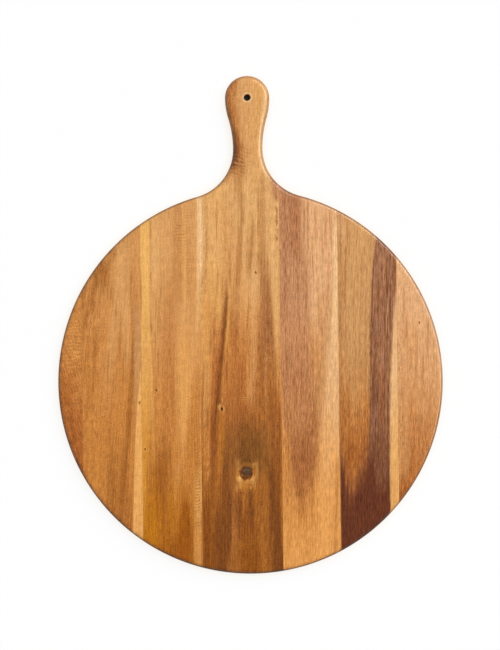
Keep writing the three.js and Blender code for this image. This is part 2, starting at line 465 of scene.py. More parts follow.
class Wood:
    """Oiled acacia of one stave, in millimetres: x across the grain, y along it, depth below the face.

    A line is one x, or (y, x) points that it wanders through. A share is how strongly a tone covers: one
    number, a value in the material, or (y, share) points along the grain.
    """

    def __init__(self, name, ground, seed, lean=0.0, knot=False):
        self.material, self.surface = new_material(name)
        self.seed = seed
        place = self.surface.node("TexCoord", output="Object")
        place = place.node("VectorMath", {"operation": "SCALE"}, {0: place, "Scale": 1 / MM})
        split = place.node("SeparateXYZ", sockets={0: place})
        self.depth = THICKNESS / MM - split.output("Z")
        self.x = split.output("X") + self.depth * SLANT_ACROSS
        self.y = split.output("Y") + self.depth * SLANT_ALONG
        self.flat = self.spread(self.x, self.y)
        self.upright = self.spread(split.output("X"), split.output("Y"))
        fibre_x = (self.parted_round_knot() if knot else self.x) + self.y * lean
        self.grain = self.spread(fibre_x, self.y, self.depth)
        fray = self.fibre(3.5, 110, detail=4, roughness=0.6) - 0.5
        self.line_y = self.y + fray * LINE_FRAY
        self.frayed = self.spread(self.x + fray * PATCH_FRAY[0], self.y + fray * PATCH_FRAY[1])
        self.crisp_x = self.x + fray * CRISP_FRAY[0]
        self.loose_x = self.x + fray * LOOSE_FRAY[0]
        self.crisp_y = self.y + fray * CRISP_FRAY[1]
        wander = self.fibre(16, 90, salt=1) * LOOSE_WANDER
        self.loose_y = self.y + fray * LOOSE_FRAY[1] + wander - LOOSE_WANDER / 2
        self.colour = self.surface.node("RGB")
        self.colour.socket.default_value = ground

    def spread(self, x, y, depth=0.0):
        """A place in the wood from its three lengths."""
        return self.depth.node("CombineXYZ", sockets={0: x, 1: y, 2: depth})

    def parted_round_knot(self):
        """x as the fibres count it: they part round the knot and close again, as a stream does."""
        off = self.x - KNOT_X
        reach = (off ** 2 + ((self.y - KNOT_Y) * KNOT_REACH) ** 2).at_least(KNOT_RADIUS ** 2)
        return self.x - off * KNOT_RADIUS ** 2 / reach

    def noise(self, across, along, tilt=0.0, salt=0.0, place=None, **look):
        """Noise from 0 to 1 in blotches of that size, turned by tilt, along the fibres or another place."""
        shift = [self.seed * seed_step + salt * salt_step for seed_step, salt_step in NOISE_STEPS]
        spot = self.grain.node("Mapping", {"vector_type": "TEXTURE"}, {
            "Vector": place or self.grain, "Location": (*shift, 0), "Rotation": (0, 0, tilt),
            "Scale": (across, along, across * NOISE_DEPTH)})
        return spot.node("TexNoise", sockets={"Vector": spot, "Scale": 1.0, **look})

    def fibre(self, width, length, detail=2.0, salt=0.0, roughness=0.55):
        """Noise drawn out along the grain."""
        return self.noise(width, length, salt=salt, Detail=detail, Roughness=roughness)

    def curl(self, width, period, tilt=0.0, salt=0.0):
        """Uneven ripples across the grain, as curly figure has them."""
        return self.noise(width, period, tilt, salt, Detail=1.5, Distortion=0.4)

    def share(self, where, y):
        """A number or value as it is, or the curve through (y, number) points."""
        if isinstance(where, list):
            return self.y.node("FloatCurve", {"points": sorted(where)}, {1: y})
        return where

    def line(self, where):
        """x of a line, which wavers a little with the fibres."""
        return self.share(where, self.line_y)

    def frayed_x(self, soft):
        """x as an edge of that softness follows it."""
        return self.loose_x if soft > LOOSE_EDGE else self.crisp_x

    def paint(self, colour, mask):
        """Covers the wood with a tone where the mask is 1."""
        self.colour = self.colour.mixed(colour, mask)

    def wash(self, colour, share):
        """Tones the whole width of the stave."""
        self.paint(colour, self.share(share, self.loose_y))

    def band(self, colour, left, right, share, soft):
        """Tones the wood between two lines. None in place of a line means the stave's own side."""
        x = self.frayed_x(soft)
        mask = self.share(share, self.loose_y)
        if left is not None:
            mask = (x - self.line(left)).rise(-soft / 2, soft / 2, mask)
        if right is not None:
            mask = (x - self.line(right)).rise(soft / 2, -soft / 2, mask)
        self.paint(colour, mask)

    def below(self, colour, edge, share, soft):
        """Tones the wood below an edge given as (x, y) points."""
        height = self.x.node("FloatCurve", {"points": sorted(edge)}, {1: self.loose_x})
        self.paint(colour, (height - self.crisp_y).rise(-soft / 2, soft / 2, share))

    def streak(self, colour, points, width, share, soft=None, fade=10.0, broken=None):
        """A streak through (y, x) points, which tapers out at its ends and which a noise may break up."""
        soft = width if soft is None else soft
        low, high = min(points)[0], max(points)[0]
        fade = min(fade, (high - low) / STREAK_TAPERS)
        if not isinstance(share, list):
            share = [(low - fade, 0), (low + fade, share), (high - fade, share), (high + fade, 0)]
        mask = self.share(share, self.crisp_y)
        if broken is not None:
            mask = broken.rise(*STREAK_LEVELS, mask)
        off = abs(self.frayed_x(soft) - self.line(points))
        self.paint(colour, off.rise((width + soft) / 2, max(width - soft, 0) / 2, mask))

    def dashes(self, colour, width, share, *lines):
        """Streaks that are alike."""
        for points in lines:
            self.streak(colour, points, width, share)

    def reach_from(self, x, y, straight=False):
        """Distance from a point of the face, along the slanting fibres or straight down."""
        where = self.upright if straight else self.flat
        return where.node("VectorMath", {"operation": "DISTANCE"}, {0: where, 1: (x, y, 0)}, "Value")

    def spot(self, x, y, across, along, share, soft):
        """The share on a round or long patch of that half width and half length, with a soft edge."""
        offset = self.frayed.vector("MULTIPLY_ADD", self.frayed, (1 / across, 1 / along, 1),
                                    (-x / across, -y / along, 0))
        far = offset.node("VectorMath", {"operation": "LENGTH"}, {0: offset}, "Value")
        return far.rise(1 + soft, max(1 - soft, 0), share)

    def patch(self, colour, x, y, across, along, share, soft=0.6):
        """Tones a round or long patch."""
        self.paint(colour, self.spot(x, y, across, along, share, soft))

    def flecks(self, colour, x, y, across, along, width, period, share):
        """A patch of short marks."""
        marks = self.curl(width, period, salt=x).rise(*FLECK_LEVELS, share)
        self.paint(colour, self.spot(x, y, across, along, marks, 0.6))

    def ripples(self, colour, x, y, across, along, period, share, slope=0.0):
        """A patch of curly figure: ripples across the grain, which rise to the right by slope."""
        uneven = self.noise(7, 9, salt=x, Detail=1.0)
        phase = (self.y - self.x * slope) * (2 * math.pi / period) + uneven * RIPPLE_BEND
        wave = phase.math("SINE", phase).rise(*RIPPLE_CREST, uneven.rise(*RIPPLE_LEVELS, share))
        self.paint(colour, self.spot(x, y, across, along, wave, 0.7))

    def pin(self, x, y, size):
        """A pin knot: a dark dot with a pale rim."""
        self.patch(GOLD, x, y, size * 2.4, size * 4, 0.4, 0.8)
        self.patch(UMBER, x, y, size * 1.6, size * 2.2, 0.6, 0.8)
        self.patch(BARK, x, y, size, size * 1.3, 0.95, 0.4)

    def vary(self, noise, amount):
        """Lightens and darkens the wood by a noise; what is darker is also redder."""
        swing = tuple(amount * part for part in FIBRE_TINT)
        least = tuple(1 - part / 2 for part in swing)
        self.colour = self.colour.vector("MULTIPLY", self.colour,
                                         noise.vector("MULTIPLY_ADD", noise, swing, least))

    def figure(self, lines=0.45, fibres=0.6, grit=0.4, mottle=0.2, width=1.8, length=70):
        """Streaks, growth lines, fibres, curl and pores over the tones, and the oiled satin finish.

        Width and length are those of a growth line; the others say how strongly each kind shows.
        """
        green = self.colour.node("SeparateColor", sockets={0: self.colour}, output="Green")
        self.vary(self.fibre(12, 400, salt=4), BROAD_STREAKS)
        self.vary(self.curl(12, 6, 0.2), mottle)
        thin = self.fibre(width, length, detail=3, salt=9, roughness=0.65)
        short = self.fibre(1.0, 9, salt=15, roughness=0.6)
        speck = self.noise(0.9, 1.8, salt=17, Detail=1.0)
        strength = green.rise(PALE_WOOD, DARK_WOOD) * (DARK_WOOD_FIGURE - 1) + 1
        fine = (thin - 0.5) * lines + (short - 0.5) * fibres + (speck - 0.5) * grit
        self.vary(fine * strength + 0.5, 1.0)
        pore = self.pores()
        self.colour = self.colour.tinted(PORE_TINT, pore * PORE_STRENGTH)
        self.end_grain()
        rounded = self.below_face()
        # Painted shade on the rounded edges, with less of it on the handle.
        painted_edge_light = self.share(EDGE_SHADE_SHARE, self.y)
        self.colour = self.colour.tinted(EDGE_SHADE_TINT, rounded.rise(*EDGE_SHADE_DEPTH, painted_edge_light))
        bump = self.y.node("Bump", sockets={
            "Strength": RELIEF_STRENGTH, "Distance": RELIEF_DEPTH, "Height": short - pore})
        roughness = thin * LATE_WOOD_ROUGHNESS + pore * PORE_ROUGHNESS + SATIN_ROUGHNESS
        self.shine(roughness, bump, rounded.rise(*EDGE_COAT_DEPTH, EDGE_COAT))
        return self.material

    def pores(self):
        """Short dark vessel lines, scattered, 1 on a pore."""
        spot = self.grain.node("Mapping", {"vector_type": "POINT"},
                               {"Vector": self.grain, "Location": (self.seed, self.seed, 0),
                                "Scale": (1 / PORE_WIDTH, 1 / PORE_LENGTH, 1 / PORE_WIDTH)})
        near = spot.node("TexVoronoi", sockets={"Vector": spot, "Scale": 1.0})
        kept = self.fibre(3, 14, salt=13)
        return near.rise(*PORE_EDGE, kept.rise(*PORE_LEVELS))

    def end_grain(self):
        """The sawn ends of the fibres soak up more oil and are darker than the faces."""
        normal = self.y.node("NewGeometry", output="Normal")
        facing = abs(normal.node("SeparateXYZ", sockets={0: normal}, output="Y"))
        self.colour = self.colour.tinted(END_GRAIN_TINT, facing.rise(*END_GRAIN_FACING, END_GRAIN_STRENGTH))

    def below_face(self):
        """How far a point lies below the nearer of the two faces."""
        half = THICKNESS / MM / 2
        return half - abs(self.depth - half)

    def shine(self, roughness, bump, coat):
        """The surface of the oiled wood."""
        bsdf = self.colour.node("BsdfPrincipled", sockets={
            "Base Color": self.colour, "Roughness": roughness, "Normal": bump, "IOR": OIL_IOR,
            "Specular IOR Level": OIL_SPECULAR, "Coat Weight": coat, "Coat Roughness": EDGE_COAT_ROUGHNESS})
        self.surface.socket.id_data.links.new(bsdf.socket, self.surface.socket)


def beside(line, offset):
    """The same line, shifted across the grain."""
    return [(y, x + offset) for y, x in line]


def left_rim_wood():
    """Reddish orange-brown and mottled, paler towards the top."""
    wood = Wood("left_rim_wood", ORANGE_BROWN, seed=1, lean=0.28)
    wood.wash(GOLDEN_BROWN, [(-15, 0), (45, 0.75), (110, 0.9)])
    wood.wash(RUSSET, [(10, 0), (-50, 0.5), (-110, 0.85)])
    wood.ripples(GOLD, -186, 64, 9, 30, 3.6, 0.5)
    wood.ripples(GOLD, -185, 30, 9, 16, 4.0, 0.55)
    wood.ripples(BROWN, -186, -12, 12, 50, 4.6, 0.25)
    wood.patch(GOLDEN_BROWN, -182, -8, 5, 18, 0.6, 0.8)
    wood.streak(UMBER, [(5, -199), (-5, -197), (-45, -186)], 2.6, 0.35, 3)
    wood.streak(UMBER, [(-38, -190.5), (-72, -183)], 2.4, 0.35, 3)
    wood.streak(RUSSET, [(60, -200), (10, -186), (-20, -180)], 3.5, 0.3)
    wood.band(BROWN, -178.6, None, 0.25, 1.6)
    return wood.figure(lines=0.3, fibres=0.75, grit=0.6, mottle=0.6)


def left_outer_wood():
    """Golden brown, with darker streaks drifting down and a strip of sapwood at its right joint."""
    wood = Wood("left_outer_wood", GOLDEN_BROWN, seed=2, lean=-0.07)
    wood.wash(TAN, [(20, 0), (90, 0.2), (150, 0.4)])
    wood.wash(AMBER, [(60, 0), (-20, 0.6), (-110, 0.9)])
    golden = [(140, -134), (80, -138), (40, -146), (0, -151), (-40, -155)]
    wood.streak(TAN, golden, 14, [(150, 0.6), (60, 0.4), (0, 0.2), (-40, 0)], 14)
    wood.band(TAN, -133, -126, [(10, 0), (40, 0.5), (75, 0.35), (100, 0)], 4)
    left_outer_marks(wood)
    drift = [(95, -121.5), (50, -122.5), (10, -124.5), (-10, -126.5), (-30, -128.5), (-60, -130.5),
             (-90, -134), (-122, -137), (-150, -139)]
    wood.band(BROWN, [(-45, -149), (-80, -152), (-150, -154)], [(-45, -143), (-80, -130), (-150, -126)],
              [(-35, 0), (-75, 0.35), (-115, 0.65), (-150, 0.8)], 9)
    wood.streak(BROWN, drift, 7, [(115, 0), (70, 0.45), (0, 0.5), (-30, 0.6), (-90, 0.75), (-150, 0.75)], 7)
    wood.streak(UMBER, drift, 3,
                [(60, 0), (35, 0.3), (-35, 0.35), (-60, 0.25), (-85, 0.55), (-125, 0.5), (-150, 0)], 3.5)
    wood.streak(UMBER, [(-70, -146), (-140, -147)], 3, 0.25, 3.5, 20)
    wood.band(OLIVE_TAN, -122.5, None, [(95, 0), (65, 0.7), (0, 0.75), (-35, 0.6), (-60, 0)], 3)
    sapwood_edge = [(18, -112), (8, -116.5), (-5, -118), (-20, -119.5), (-40, -121), (-60, -122.5),
                    (-90, -124), (-150, -126)]
    wood.band(SAPWOOD, sapwood_edge, None, 1.0, 1.8)
    wood.streak(ORANGE_BROWN, beside(sapwood_edge[1:], -0.2), 1.6, 0.35)
    wood.pin(-117.2, -20, 0.6)
    wood.pin(-117.5, 5, 0.4)
    return wood.figure(grit=0.5, mottle=0.25)


def left_outer_marks(wood):
    """Mottled patches and short dark dashes of the second stave from the left."""
    mottled = wood.fibre(5, 26, salt=5)
    wood.band(BROWN, None, [(145, -140), (120, -147), (100, -153), (80, -163), (60, -169), (45, -176)],
              mottled.rise(0.25, 0.7, 0.75), 9)
    wood.band(BROWN, None, [(165, -113), (150, -124), (135, -137), (120, -147), (100, -155)],
              [(85, 0), (110, 0.12), (165, 0.3)], 10)
    wood.patch(BROWN, -157, 114, 7, 14, mottled.rise(0.2, 0.6, 0.75), 0.9)
    wood.patch(OLIVE_BROWN, -161, 110, 2, 9, 0.35, 0.9)
    wood.patch(BROWN, -167, 40, 9, 60, mottled.rise(0.3, 0.7, 0.4), 0.9)
    wood.ripples(BROWN, -155, 58, 7, 9, 3.4, 0.25)
    wood.flecks(UMBER, -165, 45, 10, 55, 1.8, 9, 0.22)
    dashes = ((-149, 110, 93, 1.6), (-146, 104, 86, 1.6), (-144, 98, 82, 1.4), (-163.5, 52, 33, 2.0),
              (-137, 66, 28, 1.4), (-134, 32, -4, 1.4), (-141, 88, 60, 1.3), (-150, 32, 4, 1.2),
              (-166, 10, -15, 1.6), (-125, 120, 84, 1.8), (-131, 60, 20, 1.2))
    for x, high, low, width in dashes:
        wood.streak(UMBER, [(high, x + 0.6), (low, x - 0.6)], width, 0.38)
    wood.streak(UMBER, [(-49, -166), (-57, -162)], 1.5, 0.6)


def left_inner_wood():
    """Tan with a yellow sapwood band on its left, turning brown and ochre towards the bottom."""
    wood = Wood("left_inner_wood", GOLDEN_BROWN, seed=3)
    wood.wash(TAN, [(-10, 0), (60, 0.4), (110, 0.6), (150, 0.7)])
    wood.wash(AMBER, [(20, 0), (-40, 0.45), (-90, 0.8)])
    wood.wash(TAWNY, [(-60, 0), (-110, 0.45), (-160, 0.8)])
    left_inner_top(wood)
    left_inner_middle(wood)
    left_inner_bottom(wood)
    left_inner_edge(wood)
    wood.band(TAN, -53.6, None, [(-75, 0.05), (-25, 0.5), (60, 0)], 1.0)
    wood.pin(-99.5, -9, 0.8)
    wood.pin(-112, -70, 0.6)
    return wood.figure(grit=0.5)


def left_inner_top(wood):
    """Strips of tan, amber and cream in the upper part."""
    wood.band(TAN, -103.5, -94.5, [(95, 0), (130, 0.75), (185, 0.8)], 2)
    wood.band(SAPWOOD, -101, -97, [(125, 0), (150, 0.4), (185, 0.5)], 2)
    wood.band(GOLDEN_BROWN, -66.5, -56, [(75, 0), (105, 0.45), (135, 0.35), (165, 0.2), (190, 0.2)], 4)
    wood.band(AMBER, -86, -71, [(75, 0), (95, 0.25), (120, 0.25), (140, 0)], 7)
    wood.band(ORANGE_BROWN, -80, -70.5, [(80, 0), (100, 0.25), (145, 0.35), (170, 0.2)], 4)
    wood.band(TAN, -56, None, [(60, 0), (100, 0.7), (200, 0.7)], 1.5)
    wood.band(CREAM, -54.3, None, [(80, 0), (120, 0.7), (195, 0.9)], 1.2)
    wood.streak(SAPWOOD, [(172, -68.3), (86, -68)], 2.8, 0.6)
    wood.ripples(TAWNY, -74.5, 160, 5, 22, 3.1, 0.6)
    wood.ripples(ORANGE_BROWN, -64, 150, 9, 40, 3.3, 0.25)


def left_inner_middle(wood):
    """A lighter strip between orange-brown and amber."""
    wood.band(ORANGE_BROWN, [(115, -90), (60, -91), (20, -93), (-20, -94)],
              [(115, -79), (60, -77.5), (-20, -78.5)],
              [(-50, 0.2), (20, 0.4), (75, 0.35), (100, 0.15), (130, 0)], 8)
    light_right = [(40, -58), (0, -61), (-30, -64), (-60, -68), (-90, -70)]
    wood.band(SAPWOOD, [(60, -77.5), (-70, -76)], light_right,
              [(75, 0), (30, 0.5), (-45, 0.6), (-80, 0.4), (-105, 0)], 7)
    wood.band(AMBER, light_right, None, [(25, 0), (-20, 0.45), (-70, 0.75), (-110, 0.7), (-140, 0.2)], 8)


def left_inner_bottom(wood):
    """Brown and ochre streaks and the curly right edge of the lower half."""
    wood.band(BROWN, [(0, -94), (-60, -98), (-80, -101), (-100, -104), (-150, -104)],
              [(0, -82), (-60, -83), (-80, -84), (-100, -87), (-130, -89), (-150, -88)],
              [(0, 0), (-45, 0.15), (-62, 0.25), (-80, 0.85), (-150, 0.9), (-190, 0.5)], 9)
    wood.streak(DARK_OCHRE, [(-85, -94), (-110, -96), (-130, -96), (-165, -96)], 11, 0.65, 11, 22)
    wood.streak(AMBER, [(-75, -79), (-95, -81), (-110, -82)], 8, 0.6, 7, 14)
    wood.streak(OCHRE, [(-110, -82), (-125, -84), (-155, -85)], 9, 0.7, 7, 14)
    wood.streak(SAPWOOD, [(-85, -77), (-105, -79), (-122, -81)], 4, 0.3, 4, 12)
    wood.ripples(BROWN, -58.5, -62, 7, 46, 2.9, 0.4, 0.25)
    wood.band(AMBER, -62.5, None, [(-105, 0), (-130, 0.75), (-185, 0.75)], 3)
    wood.band(SAPWOOD, -60.5, None, [(-75, 0), (-95, 0.55), (-120, 0.7), (-140, 0.5), (-175, 0.4)], 4)
    wood.ripples(UMBER, -56.5, -130, 5, 42, 3.3, 0.45, 0.3)
    wood.band(OCHRE, None, -62, [(-100, 0), (-130, 0.3), (-190, 0.4)], 6)
    wood.band(OCHRE, None, -84, [(-145, 0), (-170, 0.4), (-190, 0.5)], 7)
    dark = [(-112, 0), (-126, 0.5), (-140, 0.95), (-175, 0.95), (-190, 0.8)]
    wood.band(DARK_OCHRE, [(-120, -74), (-140, -77), (-185, -80)],
              [(-120, -68), (-140, -65.5), (-185, -67)], dark, 5)
    wood.band(DARK_OCHRE, None, -64, [(-150, 0), (-170, 0.6), (-190, 0.85)], 5)
    wood.ripples(STRAW, -54, -122, 2.2, 46, 3.3, 0.5, 0.3)
    wood.band(UMBER, -54, None, [(-90, 0), (-125, 0.3), (-140, 0.5), (-190, 0.5)], 1)


def left_inner_edge(wood):
    """The yellow and ochre strip at the left joint, with short dark dashes."""
    yellow_edge = [(180, -105.2), (60, -104.6), (0, -103), (-80, -102), (-120, -99)]
    wood.band(GOLD, None, yellow_edge, [(-90, 0), (-45, 0.65), (30, 0.85), (190, 0.85)], 3)
    wood.band(STRAW, -113.8, -105.8, [(20, 0), (70, 0.6), (120, 0.9), (190, 0.9)], 1.6)
    wood.band(OCHRE, None, yellow_edge, [(-30, 0), (-65, 0.3), (-95, 0.45), (-125, 0.95)], 7)
    wood.band(DEEP_GOLD, None, [(-60, -109), (-110, -110.5), (-150, -111)],
              [(0, 0), (-40, 0.55), (-70, 0.75), (-105, 0.85), (-125, 0.5), (-150, 0.2), (-175, 0)], 5)
    wood.dashes(UMBER, 1.5, 0.45, [(112, -114.2), (74, -114)], [(166, -103.8), (149, -103.6)],
                [(114, -103.6), (106, -103.6)], [(72, -104), (53, -103.8)])
    wood.dashes(UMBER, 1.5, 0.36, [(104, -92.6), (84, -94.4)], [(90, -98), (70, -99)],
                [(81, -96), (56, -96.6)], [(66, -94), (54, -94.2)], [(50, -100), (28, -100)],
                [(36, -97), (4, -97.4)])


MAIN_STREAK = [(104, -23.6), (95, -23.6), (85, -24.4), (70, -25.5), (50, -27.5), (30, -29.8), (10, -32),
               (-10, -33.8), (-22, -34.8), (-30, -36.2), (-40, -37.8), (-55, -38.8), (-90, -40)]


def handle_wood():
    """The wide stave of the handle: tan above, brown below, with a dark streak and a knot."""
    wood = Wood("handle_wood", TAN, seed=4, lean=-0.03, knot=True)
    wood.wash(GOLDEN_BROWN, [(140, 0), (100, 0.3), (60, 0.75), (10, 1)])
    wood.wash(ORANGE_BROWN, [(80, 0), (10, 0.75), (-40, 0.95)])
    wood.wash(UMBER, [(0, 0), (-60, 0.55), (-120, 0.75), (-175, 0.95)])
    handle_tones(wood)
    upper_tones(wood)
    middle_tones(wood)
    lower_left_tones(wood)
    lower_right_tones(wood)
    lower_patches(wood)
    main_streak(wood)
    knot_arch(wood)
    knot_tones(wood)
    return wood.figure(lines=0.5, fibres=0.75, grit=0.5)


def handle_tones(wood):
    """The handle: orange-brown on its left, dark in the neck from dark wood and painted shade, a painted
    highlight on its right, and a painted highlight round the hole.
    """
    wood.wash(GOLDEN_BROWN, [(205, 0), (240, 0.3), (330, 0.2)])
    wood.band(GOLD, [(320, 8), (280, 8), (240, 6)], None, [(215, 0), (250, 0.35), (310, 0.4)], 6)
    wood.band(ORANGE_BROWN, None, [(322, -9), (300, -12), (270, -10), (240, -7), (212, -20)],
              [(203, 0), (230, 0.7), (320, 0.85)], 8)
    # Dark wood in the neck, deepened by painted shade on its left rounded edge.
    wood.patch(CHESTNUT, -13.5, 246, 6, 15, 0.65, 0.9)
    wood.patch(DARK_BROWN, -13, 242, 4.0, 13, 0.7, 0.9)
    wood.flecks(DARK_BROWN, -12, 246, 4.5, 14, 1.6, 9, 0.5)
    wood.patch(CHESTNUT, -11, 229, 6, 8, 0.4, 0.9)
    wood.patch(DARK_BROWN, -14, 233, 4, 6, 0.55, 0.8)
    wood.ripples(DARK_BROWN, -11, 229, 7, 10, 3.8, 0.85, -0.4)
    wood.ripples(ROSE_TAN, -10, 231, 5, 7, 4.4, 0.5, -0.4)
    wood.patch(BROWN, -7, 222, 6, 9, 0.5, 0.9)
    wood.patch(BROWN, -4, 240, 4.5, 8, 0.25, 0.9)
    wood.ripples(BROWN, -3, 239, 6, 9, 4.2, 0.35, -0.4)
    # A painted highlight along the handle's right rounded edge.
    painted_edge_light = [(310, 19.5), (300, 18.9), (285, 16.8), (265, 14.2), (250, 13.4), (238, 13.6), (228, 15.2),
            (218, 18.8)]
    wood.streak(CREAM, painted_edge_light, 3.6, 0.6, 2.6)
    # A painted highlight round the mouth of the hanging hole.
    hole_highlight = wood.reach_from(0, END_Y / MM, straight=True)
    wood.paint(CREAM, hole_highlight.rise(6.2, 4.6, 0.75))


def upper_tones(wood):
    """Streaks and sapwood of the upper half of the disc."""
    dotted = wood.fibre(2.5, 6, salt=21)
    upper_left_tones(wood, dotted)
    upper_dashes(wood)
    upper_right_tones(wood, dotted)
    wood.streak(CHESTNUT, [(110, -49.5), (70, -50), (15, -50.2)], 3.0, 0.6, broken=dotted)
    wood.streak(BROWN, [(70, -46.5), (20, -46.6)], 2.0, 0.5, broken=dotted)
    wood.pin(7, 115, 0.8)


def upper_left_tones(wood, dotted):
    """Gold and cream strips, and the brown streak that comes down from the handle."""
    wood.band(GOLD, -43.5, -27, [(50, 0), (90, 0.5), (205, 0.45)], 6)
    wood.band(TAN, -41, -30, [(120, 0), (150, 0.6), (200, 0.4)], 5)
    wood.band(GOLDEN_BROWN, -27, -13, [(70, 0.4), (150, 0.3), (195, 0.15), (225, 0)], 7)
    wood.band(CREAM, None, [(195, -49.4), (150, -49.2), (110, -49.8), (60, -51.2)],
              [(20, 0), (80, 0.4), (140, 0.8), (210, 0.9)], 2)
    wood.streak(CHESTNUT, [(192, -44.6), (155, -45), (145, -44.2), (125, -45.6), (100, -46.3), (60, -46.3)],
                2.6, 0.3, broken=dotted)
    wood.streak(BROWN, [(190, -44.6), (155, -45), (125, -45.6), (60, -46.3)], 3, 0.15)
    wood.streak(AMBER, [(180, -25), (146, -25)], 2, 0.3)
    brown_streak = [(208, -9), (190, -7.5), (175, -7), (160, -8.5), (140, -10), (120, -11), (100, -12.5),
                    (80, -13.5), (65, -15), (40, -16)]
    wood.streak(BROWN, brown_streak, 6,
                [(225, 0), (205, 0.6), (150, 0.65), (110, 0.6), (85, 0.3), (60, 0.4), (25, 0)], 5)


def upper_dashes(wood):
    """Short brown streaks."""
    dashes = (([(171, 4.5), (150, 3.6), (135, 2), (117, 0)], 3.2), ([(200, 10), (158, 10.2)], 1.6),
              ([(138, -21), (130, -21.2)], 1.8), ([(127, -20), (108, -20.3)], 1.9),
              ([(88, 0), (60, -2.5)], 1.8), ([(52, -6), (31, -6.3)], 1.9), ([(190, -33), (150, -34)], 1.4),
              ([(120, -33), (85, -35)], 1.6), ([(60, -37), (35, -39)], 1.6), ([(110, -28), (92, -29)], 1.5))
    for points, width in dashes:
        wood.streak(BROWN, points, width, 0.5)


def upper_right_tones(wood, dotted):
    """The broad brown band, with a tan strip on its right."""
    wood.patch(BROWN, 0.5, 136, 5, 26, 0.4, 0.8)
    wood.patch(PALE_SAP, 5.5, 106, 4.5, 20, 0.2, 0.9)
    wood.patch(BROWN, 10.5, 127, 2.6, 9, 0.45, 0.8)
    wood.patch(RED_BROWN, 29.5, 206, 5, 15, 0.85, 0.7)
    wood.band(BROWN, [(205, 9), (160, 9), (140, 10), (110, 11), (90, 10.5), (60, 9.5), (35, 8)],
              [(205, 17), (160, 18), (140, 18.5), (110, 20), (90, 22.3), (60, 25), (35, 25)],
              [(0, 0.3), (38, 0.75), (90, 0.7), (115, 0.6), (140, 0.5), (170, 0.45), (205, 0.35), (222, 0)],
              6)
    wood.band(CHOCOLATE, 9, 23, [(-15, 0), (20, 0.5), (60, 0.45), (95, 0.4), (125, 0.15), (155, 0)], 8)
    wood.band(TAN, [(205, 18), (135, 20), (115, 24), (30, 25.5)], [(205, 25), (135, 27), (118, 33)],
              [(-10, 0), (30, 0.6), (120, 0.85), (190, 0.5), (215, 0)], 4)
    wood.streak(RUST, [(200, 29.3), (143, 29.8)], 3.2, 0.65, broken=dotted)
    wood.streak(BROWN, [(120, 31.4), (30, 31.2)], 1.5, 0.3)
    wood.flecks(UMBER, 19, 26.5, 5, 6, 2.2, 2.2, 0.7)
    wood.flecks(TAN, 18.5, 25.5, 4, 5, 1.8, 2.4, 0.5)


def middle_tones(wood):
    """Tones round the disc's centre, between the tan above and the brown below."""
    wood.band(SAPWOOD, None, [(90, -43), (20, -42), (-30, -42.5), (-60, -45)],
              [(115, 0), (75, 0.65), (25, 0.65), (-15, 0.4), (-50, 0.15), (-75, 0)], 5)
    wood.band(AMBER, [(70, -23), (30, -26)], [(70, -17), (30, -19)],
              [(15, 0), (35, 0.6), (65, 0.6), (85, 0)], 4)
    wood.band(RUSSET, -18.5, -13, [(10, 0), (30, 0.45), (60, 0.4), (80, 0)], 4)
    wood.band(RUSSET, -29, -5, [(35, 0), (0, 0.4), (-25, 0.35), (-50, 0)], 7)
    wood.band(TAN, [(80, 0), (20, -0.5), (-12, -2)], [(80, 7), (20, 6), (-12, 3)],
              [(-30, 0), (0, 0.35), (50, 0.3), (85, 0.2), (105, 0)], 5)
    wood.streak(GOLD, [(24, -3), (-16, -3.5)], 1.8, 0.4)
    wood.streak(RUSSET, [(30, -37.5), (-12, -38.5)], 3.4, 0.35)
    wood.streak(RUSSET, [(20, -35), (-15, -36.2)], 1.6, 0.5)
    wood.streak(GOLD, [(14, -28.6), (-26, -30)], 2.2, 0.25)
    wood.band(BROWN, [(30, 7.5), (-15, 6)], 15, [(-45, 0.2), (-10, 0.5), (25, 0.5), (45, 0)], 4)
    wood.streak(GOLDEN_BROWN, [(22, 15.5), (-22, 15.8)], 2.8, 0.45)
    wood.band(BROWN, 18, 27.5, [(-80, 0), (-50, 0.5), (15, 0.5), (35, 0)], 4)
    wood.band(GOLDEN_BROWN, 27.5, None, [(-40, 0), (-10, 0.2), (20, 0.6), (45, 0)], 3)
    wood.streak(DARK_BROWN, [(-8, 21), (-30, 21.5), (-80, 23)], 2.2, 0.4)
    wood.ripples(GOLD, -8, -17.5, 3.2, 2.6, 2.2, 0.5)
    wood.dashes(UMBER, 1.5, 0.32, [(35, -24), (5, -25)], [(20, -19), (-15, -20)], [(10, -13), (-25, -14.5)],
                [(-5, -22), (-35, -23)], [(30, 27), (0, 27.5)], [(-10, 10), (-35, 10.5)],
                [(-20, 3), (-45, 2.5)], [(5, -9), (-20, -10)])


